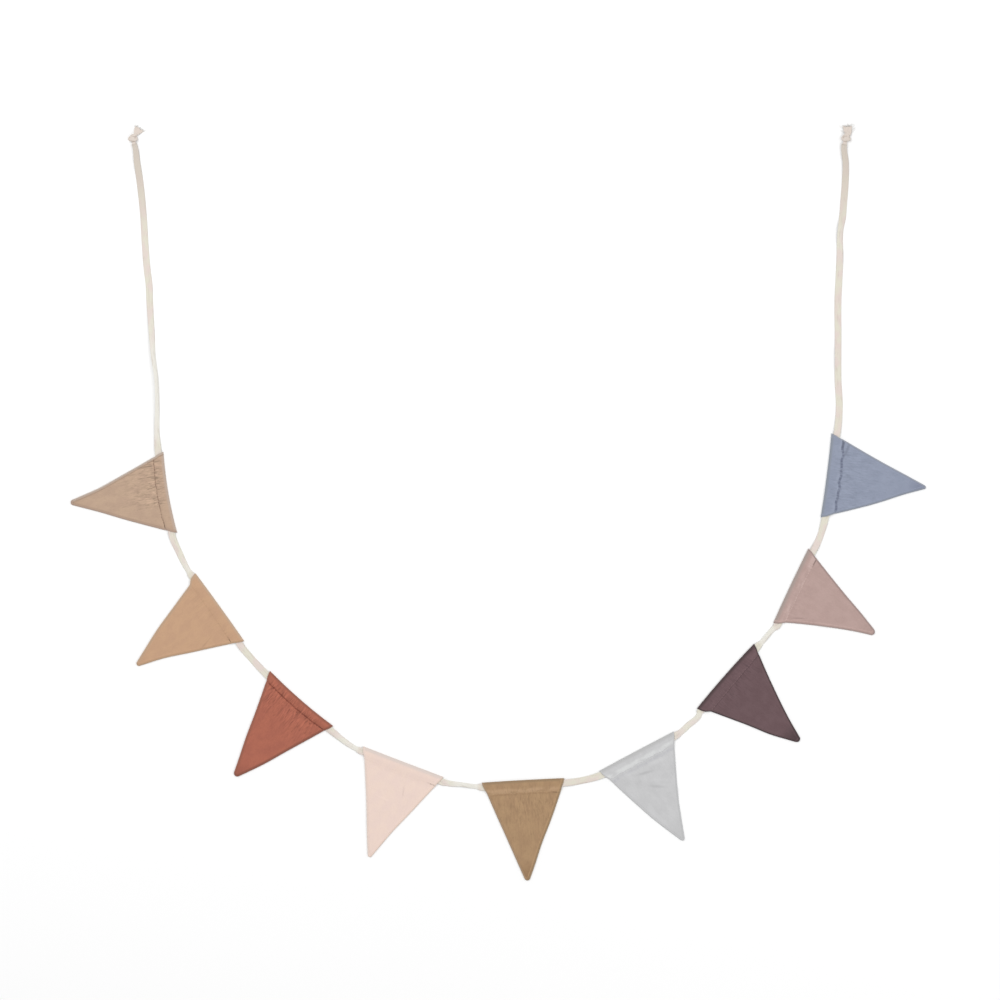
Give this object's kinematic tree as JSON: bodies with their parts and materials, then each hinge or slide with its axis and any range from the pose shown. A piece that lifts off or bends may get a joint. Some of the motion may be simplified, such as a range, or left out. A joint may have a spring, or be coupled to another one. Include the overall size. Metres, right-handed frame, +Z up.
{
  "type": "fabric bunting",
  "caption": "Cloth pennants in soft mixed colours threaded through sewn casings on a flat cotton tape, laid out in a wide U with two knotted tie ends.",
  "frame": {"origin": "centre of the laid-out bunting's footprint, at the surface it lies on", "axes": "+X from the left tie to the right tie, +Y from the lowest pennant towards the two tie ends, +Z up from the surface"},
  "size_m": [1.2819, 1.1341, 0.0079],
  "materials": {
    "tape_cotton": "woven cotton tape, undyed cream, matt",
    "cloth_sand": "crinkled double gauze cotton, sand, matt",
    "cloth_tan": "crinkled double gauze cotton, tan, matt",
    "cloth_rust": "crinkled double gauze cotton, rust, matt",
    "cloth_blush": "crinkled double gauze cotton, pale blush, matt",
    "cloth_ochre": "crinkled double gauze cotton, ochre, matt",
    "cloth_grey": "crinkled double gauze cotton, light grey, matt",
    "cloth_plum": "crinkled double gauze cotton, dusky plum, matt",
    "cloth_mauve": "crinkled double gauze cotton, mauve, matt",
    "cloth_blue": "crinkled double gauze cotton, dusty blue, matt"
  },
  "bodies": {
    "root": {"tape": "tape_cotton", "knot_left": "tape_cotton", "knot_right": "tape_cotton", "flag_1_sand": "cloth_sand", "flag_2_tan": "cloth_tan", "flag_3_rust": "cloth_rust", "flag_4_blush": "cloth_blush", "flag_5_ochre": "cloth_ochre", "flag_6_grey": "cloth_grey", "flag_7_plum": "cloth_plum", "flag_8_mauve": "cloth_mauve", "flag_9_blue": "cloth_blue"}
  },
  "joints": []
}
